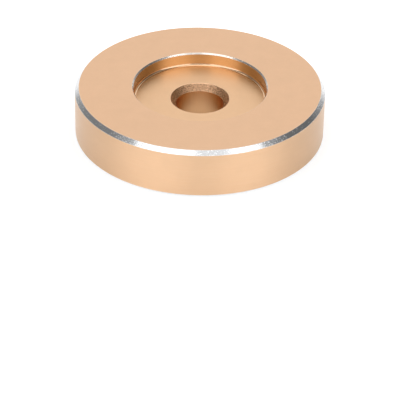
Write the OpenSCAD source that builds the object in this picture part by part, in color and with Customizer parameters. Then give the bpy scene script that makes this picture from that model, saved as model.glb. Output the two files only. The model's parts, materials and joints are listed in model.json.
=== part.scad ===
// Record spindle adapter: one turned disc that fills the large middle hole of a
// record and slips over the platter's small spindle. It lies on its flat side,
// with its recessed side up. The origin is the centre of the flat side, and +Z
// runs up along the turning axis. The blank is turned and dyed gold, and the
// rims and the lip of the recess are then cut bright.

/* [Disc] */
// Diameter over the rim, which fills the large hole of the record
disc_d = 38; // [32:0.1:46]
// Height from the flat side to the top face
disc_h = 8; // [6:0.1:14]
// Leg of the bright cut on the top rim, at 45 degrees
top_rim_cut = 0.6; // [0.2:0.05:1.2]
// Leg of the bright cut on the bottom rim, at 45 degrees
bottom_rim_cut = 0.6; // [0.2:0.05:1.2]

/* [Recess] */
// Diameter of the recess wall
recess_d = 20.2; // [16:0.1:25]
// Depth of the recess floor below the top face
recess_depth = 2.1; // [1.5:0.1:3]
// Leg of the bright cut on the lip of the recess, at 45 degrees
lip_cut = 0.2; // [0.1:0.05:0.6]
// Radius of the fillet between the recess wall and its floor
foot_r = 0.4; // [0.1:0.05:0.8]

/* [Spindle hole] */
// Diameter of the bore, a running fit over the platter's spindle
bore_d = 7.2; // [6:0.05:8]
// Diameter of the countersink where it breaks the recess floor
sink_d = 9; // [8.5:0.1:12]
// Included angle of the countersink
sink_angle = 90; // [60:1:120]
// Leg of the 45 degree chamfer that leads into the bore from the flat side
entry_cut = 0.25; // [0.1:0.05:0.6]

/* [Hidden] */
disc_r = disc_d / 2;
recess_r = recess_d / 2;
floor_z = disc_h - recess_depth;
bore_r = bore_d / 2;
sink_r = sink_d / 2;
sink_depth = (sink_r - bore_r) / tan(sink_angle / 2);
sink_z = floor_z - sink_depth;
// How far a cutter reaches past the surface that it breaks
run_out = 0.5;
gold = [0.92, 0.76, 0.62];
bright = [0.87, 0.88, 0.90];
$fn = 180;

// A 45 degree cut on a corner at radius r and height z of the half section.
// The signs tell which way the open side lies: out is 1 away from the axis and
// -1 towards it, and up is 1 above the corner and -1 below it
module corner_cut(r, z, leg, out, up) {
    far = leg + run_out;
    polygon([
        [r + out * run_out, z + up * run_out],
        [r - out * far, z + up * run_out],
        [r + out * run_out, z - up * far]
    ]);
}

// Half section of the recess: a straight wall, a round foot and a flat floor
module recess_section() {
    difference() {
        translate([0, floor_z])
            square([recess_r, recess_depth + run_out]);
        translate([recess_r - foot_r, floor_z])
            difference() {
                square([foot_r + run_out, foot_r]);
                translate([0, foot_r])
                    circle(r = foot_r);
            }
    }
}

// Half section of the spindle hole: a countersink above a straight bore
module spindle_hole_section() {
    sink_slope = tan(sink_angle / 2);
    polygon([
        [0, -run_out],
        [bore_r, -run_out],
        [bore_r, sink_z],
        [sink_r + run_out * sink_slope, floor_z + run_out],
        [0, floor_z + run_out]
    ]);
}

// The disc as it leaves the lathe, with its recess and its spindle hole
module turned_blank() {
    rotate_extrude()
        difference() {
            square([disc_r, disc_h]);
            recess_section();
            spindle_hole_section();
            corner_cut(bore_r, 0, entry_cut, -1, -1);
        }
}

// The rings that the bright cuts take off both rims and the recess lip
module bright_cuts() {
    rotate_extrude() {
        corner_cut(disc_r, disc_h, top_rim_cut, 1, 1);
        corner_cut(disc_r, 0, bottom_rim_cut, 1, -1);
        corner_cut(recess_r, disc_h, lip_cut, -1, 1);
    }
}

module adapter_disc() {
    difference() {
        color(gold) turned_blank();
        color(bright) bright_cuts();
    }
}

adapter_disc();
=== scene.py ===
"""Looks of a record spindle adapter: a turned disc in satin gold with bright cut edges.

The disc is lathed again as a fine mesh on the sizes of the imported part, with
its edges just broken, and each of its surfaces gets its own metal finish.
"""
import json
import math

import bpy
import numpy as np
from mathutils import Matrix, Vector


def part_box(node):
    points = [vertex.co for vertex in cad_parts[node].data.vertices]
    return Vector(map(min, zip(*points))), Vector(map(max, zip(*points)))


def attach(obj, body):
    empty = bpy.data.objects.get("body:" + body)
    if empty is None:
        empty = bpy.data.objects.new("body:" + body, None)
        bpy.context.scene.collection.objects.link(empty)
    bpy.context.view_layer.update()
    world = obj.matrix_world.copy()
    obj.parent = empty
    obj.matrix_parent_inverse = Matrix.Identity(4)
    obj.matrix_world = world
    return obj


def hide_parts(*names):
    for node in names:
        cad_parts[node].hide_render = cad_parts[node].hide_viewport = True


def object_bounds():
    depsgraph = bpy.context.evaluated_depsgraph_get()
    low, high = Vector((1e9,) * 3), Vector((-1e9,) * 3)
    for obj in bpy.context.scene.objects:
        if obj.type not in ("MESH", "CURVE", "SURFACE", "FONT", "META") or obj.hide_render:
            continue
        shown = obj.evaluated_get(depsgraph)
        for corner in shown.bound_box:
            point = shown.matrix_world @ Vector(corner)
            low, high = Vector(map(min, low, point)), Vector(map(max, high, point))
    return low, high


MM = 0.001
IMAGE_PX = 400

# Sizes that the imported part's box and mounts don't give, in millimetres
LIP_CUT = 0.2
FOOT_R = 0.4
SINK_R = 4.5
SINK_DEPTH = 0.9
ENTRY_CUT = 0.25
# Radius of the round that breaks each sharp edge, and of the countersink's mouth and foot
EDGE_R = 0.035
MOUTH_R = 0.16
SINK_FOOT_R = 0.07

# Lathe: segments round the axis, and steps along each small round and the foot fillet
SEGMENTS = 480
EDGE_STEPS = 4
FOOT_STEPS = 16
# Longest step along a straight stretch of the section, in millimetres
LONGEST_STEP = 1.0

# Camera: elevation and roll in degrees, distance from the middle of the disc,
# focal length in pixels, and the pixel where the middle of the disc lands
CAMERA_ELEVATION = 30.883
CAMERA_ROLL = 0.997
CAMERA_DISTANCE = 340 * MM
FOCAL_PX = 2225.1
DISC_CENTRE_PX = (199.70, 108.71)
SENSOR_WIDTH = 36.0
CLIP_START = 10 * MM
CLIP_END = 10

# Colours of the dyed skin on each surface: one gold, lighter or darker on each surface as painted light
# and shade; then the colours of the bare rims and of the bare lip
GOLD = (0.80, 0.515, 0.323)
# Darkest copy of the gold, for the countersink and entry chamfer: painted shade deep in the recess and
# under the disc
SHADED_CHAMFER_GOLD = (0.53, 0.312, 0.187)
BORE_GOLD = (0.78, 0.475, 0.262)
WALL_GOLD = (0.745, 0.505, 0.312)
SIDE_GOLD = (0.885, 0.603, 0.38)
FLOOR_GOLD = (0.838, 0.55, 0.332)
ALUMINIUM = (0.90, 0.91, 0.92)
LIP_METAL = (0.92, 0.85, 0.78)

# Sheen of the rim and of the bore, turned a quarter from the lines of the cut,
# with a clear skin over the rim
QUARTER_TURN = 0.25
RIM_SHEEN = {
    "Anisotropic": 0.8,
    "Anisotropic Rotation": QUARTER_TURN,
    "Specular Tint": (0.76, 0.76, 0.76, 1),
    "Coat Weight": 0.75,
    "Coat IOR": 1.33,
    "Coat Roughness": 0.3,
}
BORE_SHEEN = {
    "Anisotropic": 0.6,
    "Anisotropic Rotation": QUARTER_TURN,
}

# Values between which a noise mostly stays
NOISE_LOW = 0.25
NOISE_HIGH = 0.75
# Noise at which a nick in a bright cut starts, and at which it has its full depth
NICK_START = 0.58
NICK_FULL = 0.72

# Display tones: level of the light, and level shown
TONES = [(0.03, 0.019), (0.1, 0.09), (0.3, 0.3), (0.7, 0.7)]

# Table: half its width in metres, and its colour
TABLE_HALF = 1.5
TABLE_GREY = (0.5, 0.5, 0.5, 1)
# Glow of the table, laid out round the disc as painted light and shade: a painted pool of light
# under the middle of the bore, then its changes further out. Each change has the shares of the
# disc's radius where it starts and ends, the glow after it, and whether it is eased
LIGHT_POOL_UNDER_BORE = 0.7
PAINTED_GLOW_CHANGES = [
    (0.0, 0.21, 0.08, True),  # painted shade under the disc, round the pool of light under the bore
    (0.8, 0.97, 0.6, True),  # painted contact shade at the disc's edge
    (1.02, 1.5, 0.92, False),  # painted light beside the disc, which hides its contact shadow
    (1.7, 2.6, 0.62, False),  # the painted light beside the disc fading to the table's even glow far from it
]

# Level of the room, and the share of it that the right side loses and the left side gains
ROOM_LIGHT = 0.238
SIDE_SHARE = 0.2
# Ends, in degrees, of panels that reach past the front, the back or the top, or down
# to the bottom
FRONT = -60
BACK = 240
BOTTOM = -90
TOP = 99
# Panels of light, each laid over the ones before it. Each has its level, the
# azimuths and the elevations that it spans, and the softness of its edges, in
# degrees. Azimuths are counted from the front to both sides for a pair, and to
# the right for a single panel
PAIRED_PANELS = [
    (0.47, FRONT, 84, BOTTOM, TOP, 26),  # front half of the room
    (0.5, 130, BACK, BOTTOM, TOP, 24),  # back of the room
    (1.31, 146, BACK, BOTTOM, TOP, 12),  # back wall, which the top face mirrors
    (1.12, FRONT, 120, BOTTOM, 5, 5),  # horizon at the front and the sides
    (0.9, 140, BACK, BOTTOM, 13, 6),  # horizon at the back
    (2.4, FRONT, BACK, 74, TOP, 6),  # ceiling
    (1.9, FRONT, 69, 4, 66, 4),  # front panel
]
SINGLE_PANELS = [
    (1.1, -5, 36, 42, 68, 8),  # weaker stretch high in the front panel
    (0.76, -17, 17, 4, 42, 8),  # weaker stretch low in the front panel
    (2.3, -126, -108, 50, 70, 5),  # lamp at the back left
    (0.7, 106, 128, 48, 70, 7),  # weaker lamp at the back right
]


def add(tree, kind, inputs=(), **settings):
    """A shader node with its settings; each input is a socket or a plain value."""
    node = tree.nodes.new("ShaderNode" + kind)
    for name, value in settings.items():
        setattr(node, name, value)
    for name, value in dict(inputs).items():
        if isinstance(value, bpy.types.NodeSocket):
            tree.links.new(value, node.inputs[name])
        else:
            node.inputs[name].default_value = value
    return node


def calc(tree, operation, first, second=0.0):
    """The result of one sum on sockets or plain numbers."""
    return add(tree, "Math", {0: first, 1: second}, operation=operation).outputs[0]


def ranged(tree, value, from_low, from_high, to_low, to_high, smooth=False):
    """A value carried from one range to another and held at the ends."""
    spans = {
        "Value": value,
        "From Min": from_low,
        "From Max": from_high,
        "To Min": to_low,
        "To Max": to_high,
    }
    kind = "SMOOTHSTEP" if smooth else "LINEAR"
    return add(tree, "MapRange", spans, interpolation_type=kind).outputs["Result"]


def varied(tree, value, noise, share):
    """A value that a noise makes up to a share of itself smaller or larger."""
    return ranged(tree, noise, NOISE_LOW, NOISE_HIGH, value * (1 - share), value * (1 + share))


def tinted(tree, colour, factor):
    """A colour made lighter or darker by a factor."""
    return add(tree, "VectorMath", {0: colour, "Scale": factor}, operation="SCALE").outputs[0]


def blank_tree(owner):
    """An empty node tree on a material or a world."""
    owner.use_nodes = True
    owner.node_tree.nodes.clear()
    return owner.node_tree


class Turned:
    """Places on the disc as the lathe sees them: along a cut, across it, and in the metal itself."""

    def __init__(self, tree):
        self.tree = tree
        self.place = add(tree, "TexCoord").outputs["Object"]
        x, y, self.height = add(tree, "SeparateXYZ", {0: self.place}).outputs
        square = calc(tree, "ADD", calc(tree, "MULTIPLY", x, x), calc(tree, "MULTIPLY", y, y))
        self.radius = calc(tree, "SQRT", square)
        self.cosine = calc(tree, "DIVIDE", x, self.radius)
        self.sine = calc(tree, "DIVIDE", y, self.radius)

    def grain(self, size, detail=2.0):
        """Noise without a direction, its grains of a size in millimetres."""
        spans = {"Vector": self.place, "Scale": 1 / (size * MM), "Detail": detail, "Roughness": 0.55}
        return add(self.tree, "TexNoise", spans).outputs["Fac"]

    def lines(self, across, length, detail=2.0, height_across=None):
        """Noise drawn out round the axis.

        The width across the lines is in millimetres, with one of its own up the
        axis where it is given, and their length is in radians.
        """
        tree = self.tree
        tall = across if height_across is None else height_across
        vector = add(tree, "CombineXYZ", {
            0: calc(tree, "MULTIPLY", self.cosine, 1 / length),
            1: calc(tree, "MULTIPLY", self.sine, 1 / length),
            2: calc(tree, "MULTIPLY", self.radius, 1 / (across * MM)),
        }).outputs[0]
        spans = {
            "Vector": vector,
            "W": calc(tree, "MULTIPLY", self.height, 1 / (tall * MM)),
            "Scale": 1.0,
            "Detail": detail,
        }
        return add(tree, "TexNoise", spans, noise_dimensions="4D").outputs["Fac"]


def set_tones():
    """Display tones of a product photograph: deeper shadows and soft highlights."""
    view = bpy.context.scene.view_settings
    view.view_transform = "Standard"
    view.use_curve_mapping = True
    every_channel = view.curve_mapping.curves[3]
    for level, shown in TONES:
        every_channel.points.new(level, shown)
    view.curve_mapping.update()


def metal(name, colour, roughness, finish, sheen=None):
    """A metal with a finish, and with a sheen where one is given.

    The finish gives its bumps, as noises with depths in millimetres, then the
    noise and the share by which the shade varies, and the same for the roughness.
    """
    material = bpy.data.materials.new(name)
    tree = blank_tree(material)
    bumps, shade, rough = finish(Turned(tree))
    inputs = {
        "Base Color": tinted(tree, colour, varied(tree, 1.0, *shade)),
        "Metallic": 1.0,
        "Roughness": varied(tree, roughness, *rough),
    }
    for height, depth in bumps:
        spans = {"Strength": 1.0, "Distance": depth * MM, "Height": height}
        if "Normal" in inputs:
            spans["Normal"] = inputs["Normal"]
        inputs["Normal"] = add(tree, "Bump", spans).outputs[0]
    if sheen:
        inputs.update(sheen)
        inputs["Tangent"] = add(tree, "Tangent", direction_type="RADIAL", axis="Z").outputs[0]
    shader = add(tree, "BsdfPrincipled", inputs)
    add(tree, "OutputMaterial", {"Surface": shader.outputs[0]})
    material.diffuse_color = (*colour, 1)
    return material


def satin_finish(turned):
    """Fine blasted grain, with slow changes in the dye."""
    fine = turned.grain(0.09)
    coarse = turned.grain(0.3)
    dye = turned.grain(2.2, 3.0)
    return [(fine, 0.006), (coarse, 0.006)], (dye, 0.02), (coarse, 0.08)


def side_finish(turned):
    """Blasted grain over the turning lines of the rim."""
    lines = turned.lines(0.09, 0.25)
    grain = turned.grain(0.12)
    dye = turned.grain(2.2, 3.0)
    return [(grain, 0.004), (lines, 0.003)], (dye, 0.015), (lines, 0.08)


def wall_finish(turned):
    """Turning lines on the recess wall, finer than on the rim."""
    lines = turned.lines(0.07, 0.35)
    grain = turned.grain(0.15)
    dye = turned.grain(1.5)
    return [(lines, 0.002), (grain, 0.002)], (dye, 0.03), (lines, 0.15)


def burnished_finish(turned):
    """Rounds that the tool's nose has burnished: nearly smooth, with faint lines."""
    lines = turned.lines(0.05, 0.35)
    dye = turned.grain(1.5)
    return [(lines, 0.0008)], (dye, 0.02), (lines, 0.15)


def floor_finish(turned):
    """Faced floor: faint rings under a fine grain."""
    rings = turned.lines(0.1, 0.3)
    grain = turned.grain(0.1)
    dye = turned.grain(2.0)
    return [(rings, 0.002), (grain, 0.004)], (dye, 0.02), (rings, 0.1)


def bright_finish(turned):
    """Bare cut metal: sharp fine lines with small nicks."""
    lines = turned.lines(0.05, 0.12, 3.0)
    nicks = ranged(turned.tree, turned.grain(0.22, 1.0), NICK_START, NICK_FULL, 0.0, 1.0)
    return [(lines, 0.003), (nicks, 0.011)], (nicks, 0.06), (lines, 0.4)


def chatter_finish(turned):
    """Countersink and entry chamfer: coarse grain left by a chattering cutter."""
    coarse = turned.grain(0.24, 0.0)
    fine = turned.grain(0.07)
    return [(coarse, 0.055), (fine, 0.01)], (coarse, 0.32), (fine, 0.15)


def bore_finish(turned):
    """Bored wall: faint lines down the bore, drawn by the reamer."""
    lines = turned.lines(0.3, 0.025, 2.0, 2.5)
    grain = turned.grain(0.12)
    return [(lines, 0.004), (grain, 0.003)], (lines, 0.05), (lines, 0.15)


def make_materials():
    """The metals by name, each made from its colour, roughness, finish and any sheen."""
    kinds = {
        "satin_gold": (GOLD, 0.4, satin_finish),
        "turned_gold": (SIDE_GOLD, 0.6, side_finish, RIM_SHEEN),
        "bright_cut": (ALUMINIUM, 0.13, bright_finish),
        "recess_wall": (WALL_GOLD, 0.22, wall_finish),
        "lip_cut": (LIP_METAL, 0.13, bright_finish),
        "burnished_gold": (GOLD, 0.08, burnished_finish),
        "recess_floor": (FLOOR_GOLD, 0.44, floor_finish),
        "chattered_gold": (SHADED_CHAMFER_GOLD, 0.44, chatter_finish),
        "bored_gold": (BORE_GOLD, 0.34, bore_finish, BORE_SHEEN),
    }
    return {name: metal(name, *kind) for name, kind in kinds.items()}


def disc_section(frame):
    """Corners of the disc's half section, up the rim, over the top and down through the bore.

    Each has its radius, its height, the radius and finish of its round, and the
    finish of the edge after it.
    """
    _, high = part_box("adapter_disc")
    dims = {mount["name"]: mount["dims"] for mount in frame["record"]["mounts"]}
    disc_r = high.x / MM
    disc_h = high.z / MM
    bore_r = dims["spindle_bore"]["r_mm"]
    recess_r = dims["recess"]["r_mm"]
    rim_cut = (disc_h - dims["record_rim"]["length_mm"]) / 2
    floor_z = disc_h - LIP_CUT - dims["recess"]["length_mm"] - FOOT_R
    sink_z = floor_z - SINK_DEPTH
    return [
        (disc_r - rim_cut, 0, EDGE_R, "bright_cut", "bright_cut"),
        (disc_r, rim_cut, EDGE_R, "bright_cut", "turned_gold"),
        (disc_r, disc_h - rim_cut, EDGE_R, "bright_cut", "bright_cut"),
        (disc_r - rim_cut, disc_h, EDGE_R, "bright_cut", "satin_gold"),
        (recess_r + LIP_CUT, disc_h, EDGE_R, "lip_cut", "lip_cut"),
        (recess_r, disc_h - LIP_CUT, EDGE_R, "lip_cut", "recess_wall"),
        (recess_r, floor_z, FOOT_R, "burnished_gold", "recess_floor"),
        (SINK_R, floor_z, MOUTH_R, "burnished_gold", "chattered_gold"),
        (bore_r, sink_z, SINK_FOOT_R, "burnished_gold", "bored_gold"),
        (bore_r, ENTRY_CUT, EDGE_R, "chattered_gold", "chattered_gold"),
        (bore_r + ENTRY_CUT, 0, EDGE_R, "chattered_gold", "satin_gold"),
    ]


def rounded(corners):
    """The section with its corners rounded: points, outward normals and the finish after each point."""
    points, normals, finishes = [], [], []
    count = len(corners)
    for i, (r, z, radius, round_finish, finish) in enumerate(corners):
        here = np.array([r, z], float)
        before = np.array(corners[i - 1][:2], float)
        after = np.array(corners[(i + 1) % count][:2], float)
        into = (here - before) / np.linalg.norm(here - before)
        out = (after - here) / np.linalg.norm(after - here)
        turn = math.atan2(into[0] * out[1] - into[1] * out[0], float(into @ out))
        setback = radius * math.tan(abs(turn) / 2)
        side = 1 if turn > 0 else -1
        left = np.array([-into[1], into[0]]) * side
        centre = here - into * setback + left * radius
        spoke = -left * radius
        steps = FOOT_STEPS if radius > MOUTH_R else EDGE_STEPS
        for k in range(steps + 1):
            angle = turn * k / steps
            spun = np.array([
                spoke[0] * math.cos(angle) - spoke[1] * math.sin(angle),
                spoke[0] * math.sin(angle) + spoke[1] * math.cos(angle),
            ])
            points.append(centre + spun)
            normals.append(spun / radius * side)
            finishes.append(finish if k == steps else round_finish)
    return points, normals, finishes


def with_steps(points, normals, finishes):
    """Splits the straight stretches of the section so that no quad grows too long."""
    all_points, all_normals, all_finishes = [], [], []
    count = len(points)
    for i in range(count):
        after = (i + 1) % count
        stretch = points[after] - points[i]
        bend = normals[after] - normals[i]
        pieces = max(1, math.ceil(np.linalg.norm(stretch) / LONGEST_STEP))
        for k in range(pieces):
            share = k / pieces
            all_points.append(points[i] + stretch * share)
            all_normals.append(normals[i] + bend * share)
            all_finishes.append(finishes[i])
    return all_points, all_normals, all_finishes


def spun_round(section):
    """A list of radii and heights repeated at every angle of the lathe."""
    angles = [2 * math.pi * s / SEGMENTS for s in range(SEGMENTS)]
    return [(r * math.cos(a), r * math.sin(a), z) for a in angles for r, z in section]


def lathe(name, corners, materials):
    """Turns the section about Z into a mesh with true normals and one material slot per finish."""
    points, normals, finishes = with_steps(*rounded(corners))
    rows = len(points)
    slots = list(materials)
    faces, indices = [], []
    for s in range(SEGMENTS):
        here = s * rows
        beside = (s + 1) % SEGMENTS * rows
        for i in range(rows):
            after = (i + 1) % rows
            faces.append((here + i, beside + i, beside + after, here + after))
            indices.append(slots.index(finishes[i]))
    places = spun_round([point * MM for point in points])
    directions = [Vector(normal).normalized() for normal in spun_round(normals)]
    mesh = bpy.data.meshes.new(name)
    mesh.from_pydata(places, [], faces)
    for finish in slots:
        mesh.materials.append(materials[finish])
    mesh.polygons.foreach_set("material_index", indices)
    mesh.polygons.foreach_set("use_smooth", [True] * len(faces))
    mesh.update()
    mesh.normals_split_custom_set_from_vertices(directions)
    piece = bpy.data.objects.new(name, mesh)
    bpy.context.scene.collection.objects.link(piece)
    return piece


def make_camera(centre):
    """The camera at the photograph's viewing angle: turned about its own middle, with no lens shift."""
    data = bpy.data.cameras.new("camera")
    data.sensor_width = SENSOR_WIDTH
    data.lens = SENSOR_WIDTH * FOCAL_PX / IMAGE_PX
    data.clip_start = CLIP_START
    data.clip_end = CLIP_END
    elevation = math.radians(CAMERA_ELEVATION)
    roll = math.radians(CAMERA_ROLL)
    back = Vector((0, -math.cos(elevation), math.sin(elevation)))
    right = Vector((1, 0, 0))
    up = back.cross(right)
    rolled_right = right * math.cos(roll) + up * math.sin(roll)
    rolled_up = up * math.cos(roll) - right * math.sin(roll)
    half = IMAGE_PX / 2
    pan = math.atan2(DISC_CENTRE_PX[0] - half, FOCAL_PX)
    tilt = math.atan2(half - DISC_CENTRE_PX[1], FOCAL_PX)
    side = rolled_right * math.cos(pan) - back * math.sin(pan)
    level_ahead = -back * math.cos(pan) - rolled_right * math.sin(pan)
    top = rolled_up * math.cos(tilt) + level_ahead * math.sin(tilt)
    ahead = level_ahead * math.cos(tilt) - rolled_up * math.sin(tilt)
    turned = Matrix((side, top, -ahead)).transposed()
    camera = bpy.data.objects.new("camera", data)
    camera.matrix_world = Matrix.Translation(centre + back * CAMERA_DISTANCE) @ turned.to_4x4()
    bpy.context.scene.collection.objects.link(camera)
    bpy.context.scene.camera = camera


def painted_table_light(tree, disc_radius):
    """The table's glow at each distance from the disc's axis: painted light and shade round the disc.
    """
    radius = Turned(tree).radius
    glow = LIGHT_POOL_UNDER_BORE
    level = LIGHT_POOL_UNDER_BORE
    for start, end, next_level, eased in PAINTED_GLOW_CHANGES:
        near = disc_radius * start
        far = disc_radius * end
        change = ranged(tree, radius, near, far, 0.0, next_level - level, eased)
        glow = calc(tree, "ADD", glow, change)
        level = next_level
    return glow


def make_floor(disc_radius):
    """A pale light table with an even glow far out, and painted light and shade round the disc: painted
    light beside it that keeps the contact shadow faint, painted shade under it, and a painted pool of
    light under the bore.
    """
    half = TABLE_HALF
    corners = [(-half, -half, 0), (half, -half, 0), (half, half, 0), (-half, half, 0)]
    mesh = bpy.data.meshes.new("floor")
    mesh.from_pydata(corners, [], [(0, 1, 2, 3)])
    floor = bpy.data.objects.new("floor", mesh)
    bpy.context.scene.collection.objects.link(floor)
    material = bpy.data.materials.new("floor")
    tree = blank_tree(material)
    shader = add(tree, "BsdfPrincipled", {
        "Base Color": TABLE_GREY,
        "Roughness": 0.6,
        "Specular IOR Level": 0.2,
        "Emission Color": (1, 1, 1, 1),
        # Emission that paints light and shade on the table round the disc
        "Emission Strength": painted_table_light(tree, disc_radius),
    })
    add(tree, "OutputMaterial", {"Surface": shader.outputs[0]})
    mesh.materials.append(material)


def panel_mask(tree, azimuth, elevation, spans):
    """1 inside a panel and 0 outside, smooth over its edges."""
    az_from, az_to, el_from, el_to, soft = spans
    half = soft / 2
    mask = 1.0
    for value, low, high in ((azimuth, az_from, az_to), (elevation, el_from, el_to)):
        risen = ranged(tree, value, low - half, low + half, 0.0, 1.0, smooth=True)
        fallen = ranged(tree, value, high - half, high + half, 1.0, 0.0, smooth=True)
        mask = calc(tree, "MULTIPLY", mask, calc(tree, "MULTIPLY", risen, fallen))
    return mask


def make_world():
    """Studio light from all round, as a level of white that depends on the direction."""
    world = bpy.data.worlds.new("studio")
    bpy.context.scene.world = world
    tree = blank_tree(world)
    direction = add(tree, "TexCoord").outputs["Generated"]
    x, y, z = add(tree, "SeparateXYZ", {0: direction}).outputs
    front = calc(tree, "MULTIPLY", y, -1.0)
    azimuth = calc(tree, "DEGREES", calc(tree, "ARCTAN2", x, front))
    to_either_side = calc(tree, "ABSOLUTE", azimuth)
    elevation = calc(tree, "DEGREES", calc(tree, "ARCSINE", z))
    left_light = ROOM_LIGHT * (1 + SIDE_SHARE)
    right_light = ROOM_LIGHT * (1 - SIDE_SHARE)
    level = ranged(tree, x, -1.0, 1.0, left_light, right_light)
    for angle, panels in ((to_either_side, PAIRED_PANELS), (azimuth, SINGLE_PANELS)):
        for strength, *spans in panels:
            mask = panel_mask(tree, angle, elevation, spans)
            mixed = add(tree, "Mix", {"Factor": mask, "A": level, "B": strength}, data_type="FLOAT")
            level = mixed.outputs["Result"]
    background = add(tree, "Background", {"Strength": level})
    add(tree, "OutputWorld", {"Surface": background.outputs[0]})


with open("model.json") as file:
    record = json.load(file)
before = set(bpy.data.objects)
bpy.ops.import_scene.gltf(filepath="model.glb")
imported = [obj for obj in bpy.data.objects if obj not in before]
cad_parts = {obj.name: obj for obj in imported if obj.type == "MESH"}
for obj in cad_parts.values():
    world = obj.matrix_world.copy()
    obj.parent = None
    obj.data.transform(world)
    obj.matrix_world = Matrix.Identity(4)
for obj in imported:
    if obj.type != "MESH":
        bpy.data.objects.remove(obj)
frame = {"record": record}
cad_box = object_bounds()
set_tones()
make_camera(Vector((0, 0, (cad_box[0].z + cad_box[1].z) / 2)))

disc = lathe("turned_disc", disc_section(frame), make_materials())
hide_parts("adapter_disc")
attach(disc, "root")

make_floor(cad_box[1].x)
make_world()
